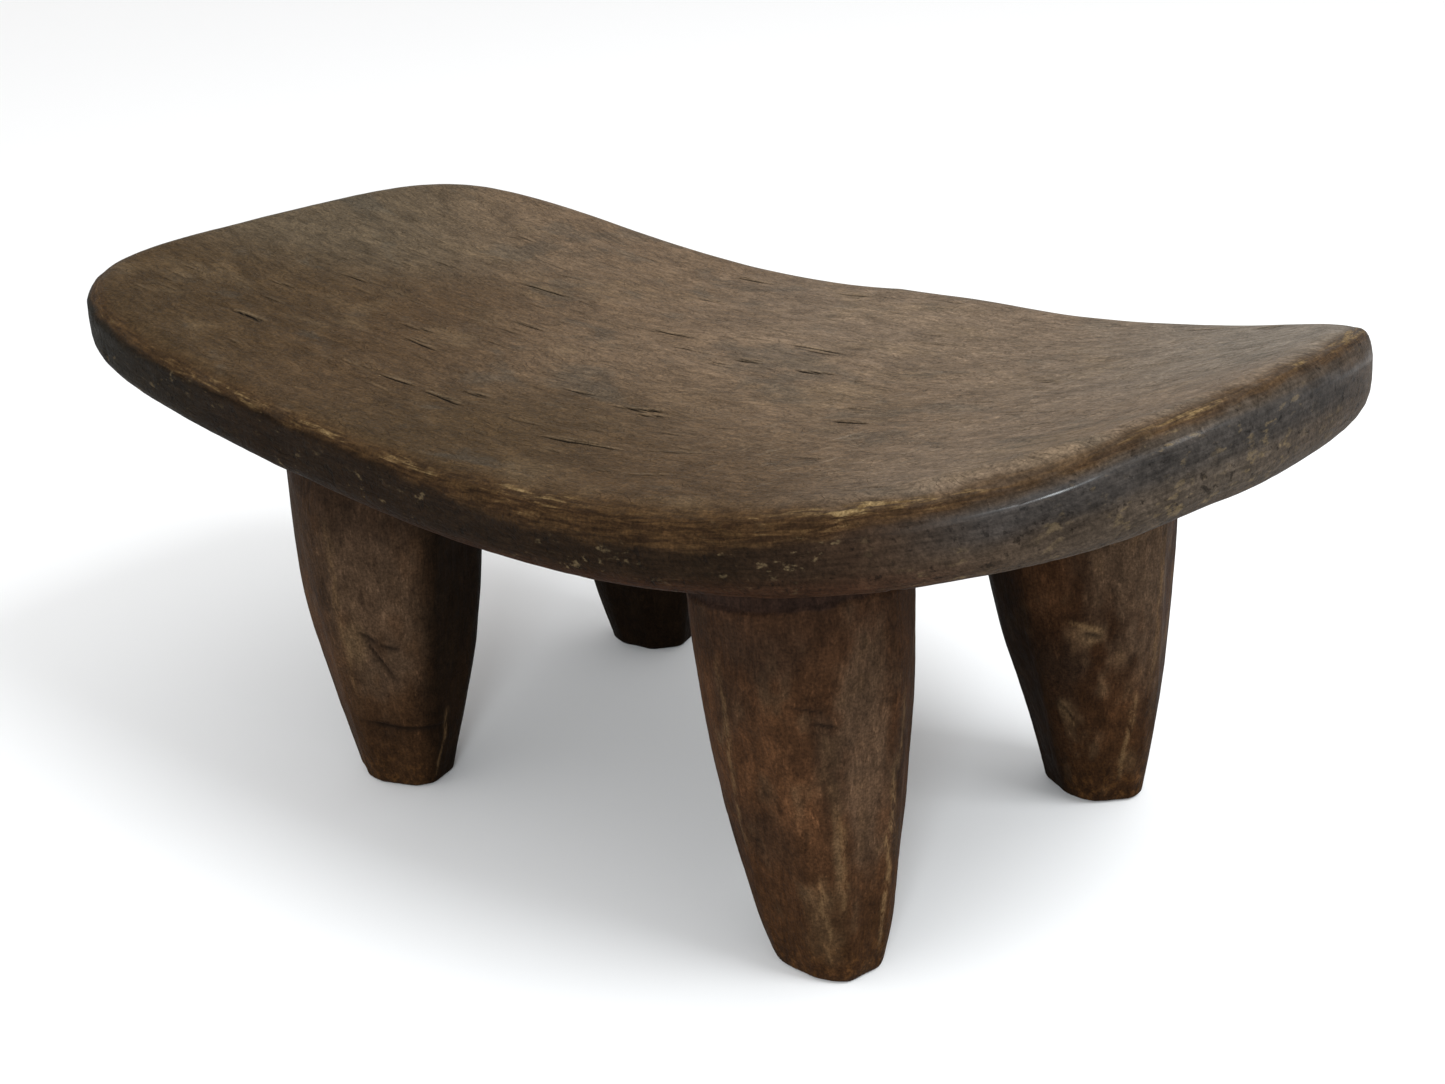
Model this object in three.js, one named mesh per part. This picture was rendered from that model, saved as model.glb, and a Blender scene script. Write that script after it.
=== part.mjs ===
// Four-legged carved headrest: a saddle-shaped seat on four tapering legs, all cut from one block.
// Millimetres, +Z up. +X runs along the seat towards its thicker, higher end, and -Y is the front.
// The origin is on the floor under the middle of the seat.
import * as THREE from "three";
import { ParametricGeometry } from "three/addons/geometries/ParametricGeometry.js";
import { mergeVertices } from "three/addons/utils/BufferGeometryUtils.js";

// Seat in plan: a rounded oblong, squarer at its left end and rounder at its right end.
const SEAT_LENGTH = 440;
const SEAT_WIDTH = 224;
const END_FLARE = 0.026; // the ends are this much wider than the waist, as a fraction
const RIGHT_END_SLANT = 2.6; // the right end leans this far back over half the width
const CORNER_SQUARENESS = { rearRight: 2.76, rearLeft: 4.1, frontLeft: 4.66, frontRight: 2.4 };

// Seat from the side: low in the middle and turned up at both ends.
const MIDDLE_HEIGHT = 143.6;
const RIGHT_RISE = 42;
const RIGHT_RISE_POWER = 2.63;
const LEFT_RISE = 25.3;
const LEFT_RISE_POWER = 1.93;
const EDGE_LIFT = 0.9; // the long edges stand this far above the centre line
const LEFT_WIND = 4.5; // the left half leans this far down to the rear, halfway to the end
const LEFT_CROWN = 1.9; // and its two edges drop this far below its middle

// Seat thickness and rim.
const MIDDLE_THICKNESS = 22.9;
const RIGHT_THICKENING = 7.5;
const LEFT_THICKENING = 1.3;
const TOP_RIM_RADIUS = 13;
const BOTTOM_RIM_RADIUS = 7.3;

// Legs: oval in section, fullest at the root, with a small blunt foot.
const ROOT_RADIUS_X = 32.6;
const ROOT_RADIUS_Y = 30.1;
const FOOT_RADIUS_X = 17.2;
const FOOT_RADIUS_Y = 13.2;
const FOOT_ROUNDING = 3.2;
const LEGS = [
  { name: "leg_front_left", root: [-86.5, -57.6], footShift: [-1.3, -5.5], girth: 1.023 },
  { name: "leg_front_right", root: [103, -61.8], footShift: [3.3, -0.2], girth: 0.99 },
  { name: "leg_rear_right", root: [99.7, 64.5], footShift: [3.5, 6.2], girth: 0.986 },
  { name: "leg_rear_left", root: [-100.5, 64.7], footShift: [-0.4, 1.1], girth: 0.998 },
];

// The legs and the seat are one piece of wood. As separate solids they keep this gap.
const ROOT_GAP = 0.3;

// How finely the surfaces are divided.
const SEAT_SIDES = 96;
const SEAT_RINGS = 8;
const TOP_RIM_STEPS = 5;
const BOTTOM_RIM_STEPS = 3;
const LEG_SIDES = 28;
const LEG_RINGS = 9;
const ROOT_CAP_RINGS = 3;
const FOOT_CAP_RINGS = 2;
const FOOT_ARC_STEPS = 3;

const HALF_LENGTH = SEAT_LENGTH / 2;
const HALF_WIDTH = SEAT_WIDTH / 2;
const FULL_TURN = 2 * Math.PI;
const QUARTER_TURN = Math.PI / 2;

function squarenessAt(cosine, sine) {
  const side = cosine > 0 ? "Right" : "Left";
  return CORNER_SQUARENESS[(sine > 0 ? "rear" : "front") + side];
}

// The seat's outline at an angle: a superellipse whose squareness changes from corner to corner.
function rawOutline(angle) {
  const cosine = Math.cos(angle);
  const sine = Math.sin(angle);
  const power = squarenessAt(cosine, sine);
  const reach = (Math.abs(cosine) ** power + Math.abs(sine) ** power) ** (-1 / power);
  const along = reach * cosine;
  const across = reach * sine;
  const slant = RIGHT_END_SLANT * across * Math.max(along, 0) ** 3;
  return new THREE.Vector2(
    HALF_LENGTH * along - slant,
    HALF_WIDTH * across * (1 + END_FLARE * along ** 2),
  );
}

function outlineCentre() {
  const points = [];
  for (let side = 0; side < SEAT_SIDES; side += 1) {
    points.push(rawOutline((side / SEAT_SIDES) * FULL_TURN));
  }
  return new THREE.Box2().setFromPoints(points).getCenter(new THREE.Vector2());
}

const OUTLINE_CENTRE = outlineCentre();

// A point on the outline, moved inwards by the inset, square to the edge.
function outline(angle, inset) {
  const step = 1e-3;
  const tangent = rawOutline(angle + step).sub(rawOutline(angle - step)).normalize();
  const inward = new THREE.Vector2(-tangent.y, tangent.x);
  return rawOutline(angle).sub(OUTLINE_CENTRE).addScaledVector(inward, inset);
}

// Height of the seat's upper surface above the floor.
function seatTop(x, y) {
  const along = x / HALF_LENGTH;
  const across = y / HALF_WIDTH;
  const rightRise = RIGHT_RISE * Math.max(along, 0) ** RIGHT_RISE_POWER;
  const leftRise = LEFT_RISE * Math.max(-along, 0) ** LEFT_RISE_POWER;
  const leftBay = 4 * THREE.MathUtils.clamp(-along, 0, 1) * THREE.MathUtils.clamp(1 + along, 0, 1);
  const wind = leftBay * (LEFT_WIND * across + LEFT_CROWN * across ** 2);
  return MIDDLE_HEIGHT + rightRise + leftRise + EDGE_LIFT * across ** 2 - wind;
}

function seatThickness(x) {
  const thickening = x > 0 ? RIGHT_THICKENING : LEFT_THICKENING;
  return MIDDLE_THICKNESS + thickening * (x / HALF_LENGTH) ** 2;
}

function seatUnderside(x, y) {
  return seatTop(x, y) - seatThickness(x);
}

// A closed skin through rings of points: each station is one ring, from the lowest pole to the highest.
function skinThrough(stations, sides, place) {
  const last = stations.length - 1;
  const onSkin = (u, v, target) => {
    const angle = (u % 1) * FULL_TURN;
    place(stations[Math.round(v * last)], angle, target);
  };
  const skin = new ParametricGeometry(onSkin, sides, last);
  skin.deleteAttribute("normal");
  skin.deleteAttribute("uv");
  const closed = mergeVertices(skin);
  closed.computeVertexNormals();
  return closed;
}

function seatStations() {
  const stations = [];
  for (let ring = 0; ring < SEAT_RINGS; ring += 1) {
    stations.push({ upper: false, reach: ring / SEAT_RINGS, inset: BOTTOM_RIM_RADIUS, offset: 0 });
  }
  for (let step = 0; step <= BOTTOM_RIM_STEPS; step += 1) {
    const turn = (step / BOTTOM_RIM_STEPS) * QUARTER_TURN;
    const inset = BOTTOM_RIM_RADIUS * (1 - Math.sin(turn));
    stations.push({ upper: false, reach: 1, inset, offset: BOTTOM_RIM_RADIUS * (1 - Math.cos(turn)) });
  }
  for (let step = 0; step <= TOP_RIM_STEPS; step += 1) {
    const turn = (step / TOP_RIM_STEPS) * QUARTER_TURN;
    const inset = TOP_RIM_RADIUS * (1 - Math.cos(turn));
    stations.push({ upper: true, reach: 1, inset, offset: TOP_RIM_RADIUS * (Math.sin(turn) - 1) });
  }
  for (let ring = SEAT_RINGS - 1; ring >= 0; ring -= 1) {
    stations.push({ upper: true, reach: ring / SEAT_RINGS, inset: TOP_RIM_RADIUS, offset: 0 });
  }
  return stations;
}

function placeOnSeat(station, angle, target) {
  const plan = outline(angle, station.inset).multiplyScalar(station.reach);
  const surface = station.upper ? seatTop : seatUnderside;
  target.set(plan.x, plan.y, surface(plan.x, plan.y) + station.offset);
}

function legStations() {
  const stations = [];
  for (let ring = 0; ring < FOOT_CAP_RINGS; ring += 1) {
    stations.push({ reach: ring / FOOT_CAP_RINGS, inset: FOOT_ROUNDING, lift: 0, climb: 0 });
  }
  for (let step = 0; step <= FOOT_ARC_STEPS; step += 1) {
    const turn = (step / FOOT_ARC_STEPS) * QUARTER_TURN;
    const inset = FOOT_ROUNDING * (1 - Math.sin(turn));
    stations.push({ reach: 1, inset, lift: FOOT_ROUNDING * (1 - Math.cos(turn)), climb: 0 });
  }
  for (let ring = 1; ring <= LEG_RINGS; ring += 1) {
    stations.push({ reach: 1, inset: 0, lift: 0, climb: ring / LEG_RINGS });
  }
  for (let ring = ROOT_CAP_RINGS - 1; ring >= 0; ring -= 1) {
    stations.push({ reach: ring / ROOT_CAP_RINGS, inset: 0, lift: 0, climb: 1 });
  }
  return stations;
}

// A leg is placed about its root's centre. Its root cap follows the seat's underside.
function placeOnLeg(leg, station, angle, target) {
  const [rootX, rootY] = leg.root;
  const capX = station.reach * leg.girth * ROOT_RADIUS_X * Math.cos(angle);
  const capY = station.reach * leg.girth * ROOT_RADIUS_Y * Math.sin(angle);
  const height = seatUnderside(rootX + capX, rootY + capY) - ROOT_GAP;
  const climb = station.climb + station.lift / height;
  const swell = 1 - (1 - climb) ** 2;
  const radiusX = THREE.MathUtils.lerp(FOOT_RADIUS_X, ROOT_RADIUS_X, swell) * leg.girth - station.inset;
  const radiusY = THREE.MathUtils.lerp(FOOT_RADIUS_Y, ROOT_RADIUS_Y, swell) * leg.girth - station.inset;
  target.set(
    leg.footShift[0] * (1 - climb) + station.reach * radiusX * Math.cos(angle),
    leg.footShift[1] * (1 - climb) + station.reach * radiusY * Math.sin(angle),
    climb * height,
  );
}

const seatWood = new THREE.MeshStandardMaterial({ color: "#6f604d", roughness: 0.62, metalness: 0 });
const legWood = new THREE.MeshStandardMaterial({ color: "#48352a", roughness: 0.66, metalness: 0 });

function makeSeat() {
  const seat = new THREE.Mesh(skinThrough(seatStations(), SEAT_SIDES, placeOnSeat), seatWood);
  seat.name = "seat";
  return seat;
}

function makeLeg(leg) {
  const place = (station, angle, target) => placeOnLeg(leg, station, angle, target);
  const mesh = new THREE.Mesh(skinThrough(legStations(), LEG_SIDES, place), legWood);
  mesh.name = leg.name;
  mesh.position.set(leg.root[0], leg.root[1], 0);
  return mesh;
}

const headrest = new THREE.Group();
headrest.add(makeSeat());
for (const leg of LEGS) {
  headrest.add(makeLeg(leg));
}

export default headrest;
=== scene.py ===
# Carved four-legged headrest: what it looks like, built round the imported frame.
# Shapes are worked out in millimetres and turned into metres when a mesh is made.
import math

import bpy
import numpy as np
from mathutils import Matrix, Vector, kdtree


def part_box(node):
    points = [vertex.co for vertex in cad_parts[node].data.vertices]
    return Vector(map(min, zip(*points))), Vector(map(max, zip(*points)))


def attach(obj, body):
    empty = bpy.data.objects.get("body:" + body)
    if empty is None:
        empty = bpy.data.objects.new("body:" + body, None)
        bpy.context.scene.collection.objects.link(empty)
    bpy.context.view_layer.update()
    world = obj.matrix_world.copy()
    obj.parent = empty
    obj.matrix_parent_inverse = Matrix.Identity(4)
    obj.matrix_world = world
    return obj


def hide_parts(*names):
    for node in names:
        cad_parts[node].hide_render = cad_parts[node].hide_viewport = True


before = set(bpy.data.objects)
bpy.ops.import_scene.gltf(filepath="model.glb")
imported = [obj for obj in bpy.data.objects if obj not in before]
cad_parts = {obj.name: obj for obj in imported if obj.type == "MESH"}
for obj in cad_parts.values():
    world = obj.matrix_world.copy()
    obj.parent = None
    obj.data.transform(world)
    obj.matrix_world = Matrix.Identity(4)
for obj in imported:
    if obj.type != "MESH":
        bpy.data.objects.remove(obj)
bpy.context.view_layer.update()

MM = 0.001


def box_mm(node):
    """Lowest and highest corner of a CAD node, in millimetres."""
    low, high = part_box(node)
    return np.array(low) / MM, np.array(high) / MM


SEAT_LOW, SEAT_HIGH = box_mm("seat")

# Seat in plan, as fractions and millimetres.
HALF_LENGTH = (SEAT_HIGH[0] - SEAT_LOW[0]) / 2
HALF_WIDTH = (SEAT_HIGH[1] - SEAT_LOW[1]) / 2
END_FLARE = 0.026
RIGHT_END_SLANT = 2.6
SQUARENESS = {"rear_right": 2.76, "rear_left": 4.1, "front_left": 4.66, "front_right": 2.4}

# Seat from the side.
MIDDLE_HEIGHT = 143.6
RIGHT_RISE, RIGHT_RISE_POWER = 42.0, 2.63
LEFT_RISE, LEFT_RISE_POWER = 25.3, 1.93
EDGE_LIFT = 0.9
LEFT_WIND, LEFT_CROWN = 4.5, 1.9
MIDDLE_THICKNESS = 22.5
RIGHT_THICKENING, LEFT_THICKENING = 8.3, 1.6

# The rim's profile by direction in plan (degrees from +X). The upper face starts to roll off this
# far in from the outline, meets the worn edge further out and a little lower, and from there a
# bevel runs down to the outline. Its roundness is 0 for a flat bevel and 1 for a full roll. The
# band below it turns under the seat with the bottom roll's radius.
RIM_DIRECTIONS = (
    -180, -150, -125, -106, -98, -90, -80, -62, -50, -42, -36, -26, -5, 12, 35, 60, 90, 150, 180
)
ROLL_START = (13, 13, 10, 8, 9, 10, 12, 13, 13, 14, 15, 13, 13, 13, 13, 13, 15, 16, 13)
EDGE_INSET = (4.5, 3.5, 1.2, 1, 1.2, 2.2, 4, 4.5, 4, 4, 4, 4, 4, 4, 4, 3.5, 4.5, 5, 4.5)
EDGE_DROP = (3.8, 4, 4.3, 2.6, 2.2, 2, 2.2, 2.6, 3.2, 4.8, 6, 3.7, 3.4, 3.2, 3.2, 3, 3.6, 4.2, 3.8)
BEVEL_FOOT = (11, 9, 6.5, 4.8, 5, 7, 9, 10, 9.5, 10, 10.5, 10, 10.5, 11, 12, 11, 11, 11.5, 11)
BEVEL_ROUNDNESS = (
    0.7, 0.5, 0.3, 0.2, 0.3, 0.5, 0.7, 0.6, 0.4, 0.2, 0.15, 0.1, 0.15, 0.4, 0.85, 0.9, 0.8, 0.8, 0.7
)
BOTTOM_ROLL = (6.5, 6.5, 6.5, 6.5, 6.5, 6.5, 6.5, 6.5, 6.5, 6.5, 6.5, 6.5, 8, 10, 12, 11, 8, 7, 6.5)
ROLL_POWER = 1.8

# How finely the seat is divided.
TOP_COLUMNS = 104
TOP_ROWS = 540
RIM_POINTS = 760
ROLL_RINGS = 8
BEVEL_RINGS = 6
BAND_RINGS = 9
BOTTOM_RINGS = 6
UNDERSIDE_RINGS = 28
HALVING_RINGS = (3, 14)

# Relief of the seat: waves, ripples and wrinkles of the upper face, splits and their torn lips,
# the undercut edge, the unevenness of the band and of the worn edge, nicks, and on the underside
# tool scoops and coarse grain.
WAVE_DEPTH, RIPPLE_DEPTH, WRINKLE_DEPTH = 0.5, 0.32, 0.17
SPLIT_DEPTH, LIP_HEIGHT = 0.6, 0.20
UNDERCUT_DEPTH, BAND_DEPTH, EDGE_DEPTH, NICK_DEPTH = 0.7, 0.20, 0.28, 1.2
SCOOP_DEPTH, SCOOP_LENGTH, SCOOP_WIDTH = 2.2, 24, 15
SCOOP_LEVEL = 0.3
UNDERSIDE_GRAIN_DEPTH = 0.25
BEYOND_RIM = 60.0

# Legs.
FOOT_RADIUS = (17.2, 13.2)
FOOT_ROUNDING = 2.2
ROOT_OVERLAP = 1.5
ROOT_RADIUS_X = 32.6
SKIN_ALLOWANCE = 1.012
FLAT_SOFTNESS = 0.005
LEDGE_DROP = 9.0
LEDGE_DEPTH = 0.8
LEG_WAVE_DEPTH, LEG_GRAIN_DEPTH = 0.5, 0.10
LEG_SCOOP_DEPTH, LEG_SCOOP_WIDTH, LEG_SCOOP_HEIGHT = 0.35, 13, 24
ROOT_FLARE, ROOT_FLARE_HEIGHT = 1.8, 1.6
MARK_RADIUS = 24
MM_PER_DEGREE = math.radians(1) * MARK_RADIUS
CAP_RINGS = 5
ROUNDING_RINGS = 6
LEG_SIDES = 176
LEG_RINGS = 210

# Materials.
NOISE_ROUGHNESS = 0.64
SEAT_ROUGHNESS, LEG_ROUGHNESS, ROUGHNESS_RANGE = 0.55, 0.64, 0.4
COAT_ROUGHNESS = 0.22
SPECULAR = 0.02
SEAT_BUMP_MM, LEG_BUMP_MM = 0.55, 0.5


# ---- Noise and marks ------------------------------------------------------------------------


def noise(points, cell, seed):
    """Smooth noise from -1 to 1. The cell is the size of its lumps along each axis."""
    size = 32
    table = np.random.default_rng(seed).uniform(-1, 1, (size, size, size))
    place = points / np.asarray(cell, float) + 100
    base = np.floor(place).astype(int)
    part = place - base
    part = part * part * (3 - 2 * part)
    total = np.zeros(len(points))
    for corner in np.ndindex(2, 2, 2):
        weight = np.prod(np.where(corner, part, 1 - part), axis=1)
        i, j, k = ((base + corner) % size).T
        total += weight * table[i, j, k]
    return total


def rough(points, cell, seed, octaves=3):
    """Noise with finer and weaker layers on top."""
    cell = np.asarray(cell, float)
    return sum(noise(points, cell / 2**k, seed + k) / 2**k for k in range(octaves))


def scoops(u, v, pitch_u, pitch_v, seed):
    """Overlapping tool scoops on a surface: 0 in the middle of each and about 0.6 on the ridges."""
    size = 64
    jitter = np.random.default_rng(seed).uniform(0.15, 0.85, (size, size, 2))
    cell_u, cell_v = np.floor(u / pitch_u).astype(int), np.floor(v / pitch_v).astype(int)
    nearest = np.full(u.shape, 9.0)
    for i in (-1, 0, 1):
        for j in (-1, 0, 1):
            at = jitter[(cell_u + i) % size, (cell_v + j) % size]
            gap_u = u / pitch_u - (cell_u + i + at[..., 0])
            gap_v = v / pitch_v - (cell_v + j + at[..., 1])
            nearest = np.minimum(nearest, gap_u**2 + gap_v**2)
    return nearest


def groove(u, v, start, end, width):
    """1 along a straight cut from start to end, falling to 0 at its sides and tapering at its ends."""
    start, end = np.asarray(start, float), np.asarray(end, float)
    length = np.linalg.norm(end - start)
    along_u, along_v = (end - start) / length
    along = ((u - start[0]) * along_u + (v - start[1]) * along_v) / length
    aside = (u - start[0]) * along_v - (v - start[1]) * along_u
    taper = np.clip(1 - (2 * along - 1) ** 4, 0, 1) * ((along > 0) & (along < 1))
    return taper * np.exp(-((aside / width) ** 2))


def smooth_step(low, high, value):
    part = np.clip((value - low) / (high - low), 0, 1)
    return part * part * (3 - 2 * part)


def paint(red, green, blue):
    """A colour given as screen values from 0 to 255, as the shader's own linear colour."""
    values = np.array([red, green, blue]) / 255
    linear = np.where(values <= 0.04045, values / 12.92, ((values + 0.055) / 1.055) ** 2.4)
    return (*linear.tolist(), 1.0)


def paint_over(colours, amount, colour):
    """Colours of many points, moved towards one colour by an amount from 0 to 1 for each."""
    return colours + (np.array(colour[:3]) - colours) * np.asarray(amount)[:, None]


# ---- Meshes ---------------------------------------------------------------------------------


def add_to_scene(name, data):
    made = bpy.data.objects.new(name, data)
    bpy.context.scene.collection.objects.link(made)
    return made


def make_object(name, points, faces):
    """A smooth-shaded mesh from points in millimetres."""
    mesh = bpy.data.meshes.new(name)
    mesh.from_pydata((points * MM).tolist(), [], faces)
    mesh.validate()
    mesh.polygons.foreach_set("use_smooth", np.ones(len(mesh.polygons), bool))
    return add_to_scene(name, mesh)


def vertex_array(mesh, kind):
    values = np.empty(len(mesh.vertices) * 3)
    getattr(mesh, kind).foreach_get("co" if kind == "vertices" else "vector", values)
    return values.reshape(-1, 3)


def push_out(made, amount):
    """Moves each vertex along its normal by an amount in millimetres."""
    mesh = made.data
    moved = vertex_array(mesh, "vertices") + vertex_array(mesh, "vertex_normals") * amount[:, None] * MM
    mesh.vertices.foreach_set("co", moved.ravel())
    mesh.update()


def stand_on_floor(made):
    """Lifts the points that lie under the floor up to it."""
    points = vertex_array(made.data, "vertices")
    points[:, 2] = np.maximum(points[:, 2], 0)
    made.data.vertices.foreach_set("co", points.ravel())
    made.data.update()


def add_attributes(made, **values_by_name):
    for name, values in values_by_name.items():
        attribute = made.data.attributes.new(name, "FLOAT", "POINT")
        attribute.data.foreach_set("value", np.asarray(values, np.float32))


def add_places(made, name, places):
    attribute = made.data.attributes.new(name, "FLOAT_VECTOR", "POINT")
    attribute.data.foreach_set("vector", (places * MM).ravel().astype(np.float32))


def add_colours(made, name, colours):
    attribute = made.data.attributes.new(name, "FLOAT_COLOR", "POINT")
    with_alpha = np.column_stack([colours, np.ones(len(colours))])
    attribute.data.foreach_set("color", with_alpha.ravel().astype(np.float32))


def strip(lower, upper):
    """Quads between two closed rings of the same length, the second further along the skin."""
    count = len(lower)
    return [(lower[i], lower[(i + 1) % count], upper[(i + 1) % count], upper[i]) for i in range(count)]


def zip_rings(inner, inner_angle, outer, outer_angle):
    """Triangles between two closed rings with different numbers of points, by their angles."""
    faces = []
    i = j = 0
    while i < len(inner) or j < len(outer):
        next_inner = inner_angle[i + 1] if i + 1 < len(inner) else inner_angle[0] + 2 * math.pi
        next_outer = outer_angle[j + 1] if j + 1 < len(outer) else outer_angle[0] + 2 * math.pi
        here_inner, here_outer = inner[i % len(inner)], outer[j % len(outer)]
        if j >= len(outer) or (i < len(inner) and next_inner <= next_outer):
            i += 1
            faces.append((here_inner, here_outer, inner[i % len(inner)]))
        else:
            j += 1
            faces.append((here_inner, here_outer, outer[j % len(outer)]))
    return faces


# ---- Seat -----------------------------------------------------------------------------------


def raw_outline(angle):
    cosine, sine = np.cos(angle), np.sin(angle)
    right = np.where(sine > 0, SQUARENESS["rear_right"], SQUARENESS["front_right"])
    left = np.where(sine > 0, SQUARENESS["rear_left"], SQUARENESS["front_left"])
    power = np.where(cosine > 0, right, left)
    reach = (np.abs(cosine) ** power + np.abs(sine) ** power) ** (-1 / power)
    along, across = reach * cosine, reach * sine
    slant = RIGHT_END_SLANT * across * np.maximum(along, 0) ** 3
    x = HALF_LENGTH * along - slant
    y = HALF_WIDTH * across * (1 + END_FLARE * along**2)
    return np.stack([x, y], axis=-1)


ALL_ROUND = np.linspace(-math.pi, math.pi, 2000, endpoint=False)
OUTLINE_MIDDLE = (raw_outline(ALL_ROUND).max(axis=0) + raw_outline(ALL_ROUND).min(axis=0)) / 2


def outline(angle, inset):
    """Points of the seat's outline, moved inwards, square to the edge."""
    step = 1e-3
    tangent = raw_outline(angle + step) - raw_outline(angle - step)
    tangent /= np.linalg.norm(tangent, axis=-1, keepdims=True)
    inward = np.stack([-tangent[..., 1], tangent[..., 0]], axis=-1)
    return raw_outline(angle) - OUTLINE_MIDDLE + inward * np.asarray(inset)[..., None]


def seat_top(x, y):
    along, across = x / HALF_LENGTH, y / HALF_WIDTH
    right_rise = RIGHT_RISE * np.maximum(along, 0) ** RIGHT_RISE_POWER
    left_rise = LEFT_RISE * np.maximum(-along, 0) ** LEFT_RISE_POWER
    left_bay = 4 * np.clip(-along, 0, 1) * np.clip(1 + along, 0, 1)
    wind = left_bay * (LEFT_WIND * across + LEFT_CROWN * across**2)
    return MIDDLE_HEIGHT + right_rise + left_rise + EDGE_LIFT * across**2 - wind


def seat_thickness(x):
    thickening = np.where(x > 0, RIGHT_THICKENING, LEFT_THICKENING)
    return MIDDLE_THICKNESS + thickening * (x / HALF_LENGTH) ** 2


def round_the_rim(angle, values):
    degrees = np.degrees(np.arctan2(np.sin(angle), np.cos(angle)))
    return np.interp(degrees, RIM_DIRECTIONS, values)


def top_grid():
    """Points of the seat's upper face as a grid that follows the grain in the middle and the
    outline at the edge, and the directions of the points round its edge."""
    s, t = np.meshgrid(
        np.linspace(-1, 1, TOP_COLUMNS + 1), np.linspace(-1, 1, TOP_ROWS + 1), indexing="ij"
    )
    ring = np.maximum(np.abs(s), np.abs(t))
    angle = np.arctan2(t, s)
    edge = outline(angle, round_the_rim(angle, ROLL_START))
    straight = np.stack([s * HALF_LENGTH * 0.96, t * HALF_WIDTH * 0.9], axis=-1)
    weight = (ring**2)[..., None]
    plan = (1 - weight) * straight + weight * ring[..., None] * edge
    return plan.reshape(-1, 2), angle


def edge_loop():
    """Indices of the top grid's border, anticlockwise seen from above."""
    index = np.arange((TOP_COLUMNS + 1) * (TOP_ROWS + 1)).reshape(TOP_COLUMNS + 1, TOP_ROWS + 1)
    sides = [index[:-1, 0], index[-1, :-1], index[:0:-1, -1], index[0, :0:-1]]
    return index, np.concatenate(sides)


def edge_travelled():
    """How far along the seat's edge each of the directions all round lies, and the whole way."""
    points = outline(ALL_ROUND, np.zeros(len(ALL_ROUND)))
    steps = np.linalg.norm(np.roll(points, -1, axis=0) - points, axis=1)
    return np.concatenate([[0], np.cumsum(steps)])


def even_angles(count):
    """Directions that are evenly spaced along the seat's edge."""
    travelled = edge_travelled()
    wanted = np.arange(count) / count * travelled[-1]
    return np.interp(wanted, travelled, np.append(ALL_ROUND, math.pi))


def unrolled(direction, rim):
    """Places for marks that follow the rim: a circle as long as the edge, and the rim distance."""
    travelled = edge_travelled()
    along = np.interp(np.radians(direction), np.append(ALL_ROUND, math.pi), travelled)
    turn = along / travelled[-1] * 2 * math.pi
    radius = travelled[-1] / (2 * math.pi)
    return np.column_stack([radius * np.cos(turn), radius * np.sin(turn), rim])


def by_angle(indices, angle):
    """A closed ring's points and their angles, starting from the lowest angle."""
    order = np.argsort(angle)
    return np.asarray(indices)[order].tolist(), np.asarray(angle)[order].tolist()


def rim_profile(angle, thickness):
    """The rim's profile at each angle, as (inset, drop) from where the upper face starts to roll
    off to the edge of the underside."""
    start, edge = round_the_rim(angle, ROLL_START), round_the_rim(angle, EDGE_INSET)
    edge_drop, foot = round_the_rim(angle, EDGE_DROP), round_the_rim(angle, BEVEL_FOOT)
    roundness, bottom = round_the_rim(angle, BEVEL_ROUNDNESS), round_the_rim(angle, BOTTOM_ROLL)
    profile = []
    for step in range(1, ROLL_RINGS + 1):
        part = step / ROLL_RINGS
        profile.append((start + (edge - start) * part, edge_drop * part**ROLL_POWER))
    pull_inset = edge / 2 * (1 - roundness)
    pull_drop = (edge_drop + foot) / 2 * (1 - roundness) + edge_drop * roundness
    for step in range(1, BEVEL_RINGS + 1):
        part = step / BEVEL_RINGS
        near, middle, far = (1 - part) ** 2, 2 * part * (1 - part), part**2
        inset = near * edge + middle * pull_inset
        profile.append((inset, near * edge_drop + middle * pull_drop + far * foot))
    for step in range(1, BAND_RINGS + 1):
        profile.append((0 * foot, foot + (thickness - foot - bottom) * step / BAND_RINGS))
    for step in range(1, BOTTOM_RINGS + 1):
        turn = step / BOTTOM_RINGS * math.pi / 2
        profile.append((bottom * (1 - math.cos(turn)), thickness - bottom * (1 - math.sin(turn))))
    return profile


def roll_length(angle):
    """How far the rolled-off part of the upper face reaches, measured on its skin."""
    run = round_the_rim(angle, ROLL_START) - round_the_rim(angle, EDGE_INSET)
    return np.hypot(run, round_the_rim(angle, EDGE_DROP))


def bevel_length(angle):
    fall = round_the_rim(angle, BEVEL_FOOT) - round_the_rim(angle, EDGE_DROP)
    return np.hypot(round_the_rim(angle, EDGE_INSET), fall)


def seat_rings(angle):
    """Rings of points from just outside the upper face, round the rim, to the underside's edge.
    Each is (points, distance on the skin from the worn edge, negative above it)."""
    start = round_the_rim(angle, ROLL_START)
    thickness = seat_thickness(outline(angle, start)[:, 0])
    distance = -roll_length(angle)
    previous = (start, 0 * start)
    made = []
    for inset, drop in rim_profile(angle, thickness):
        distance = distance + np.hypot(inset - previous[0], drop - previous[1])
        plan = outline(angle, inset)
        full = seat_thickness(plan[:, 0])
        height = seat_top(plan[:, 0], plan[:, 1]) - drop * full / thickness
        made.append((np.column_stack([plan, height]), distance))
        previous = (inset, drop)
    return made


# Low swells of the upper face: x, y, reach and how far they stand out.
SEAT_SWELLS = ((34, 105, 24, 1.1), (150, 40, 30, 0.5), (-60, -70, 30, -0.5))


def seat_direction(x, y):
    return np.degrees(np.arctan2(y / HALF_WIDTH, x / HALF_LENGTH))


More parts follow.
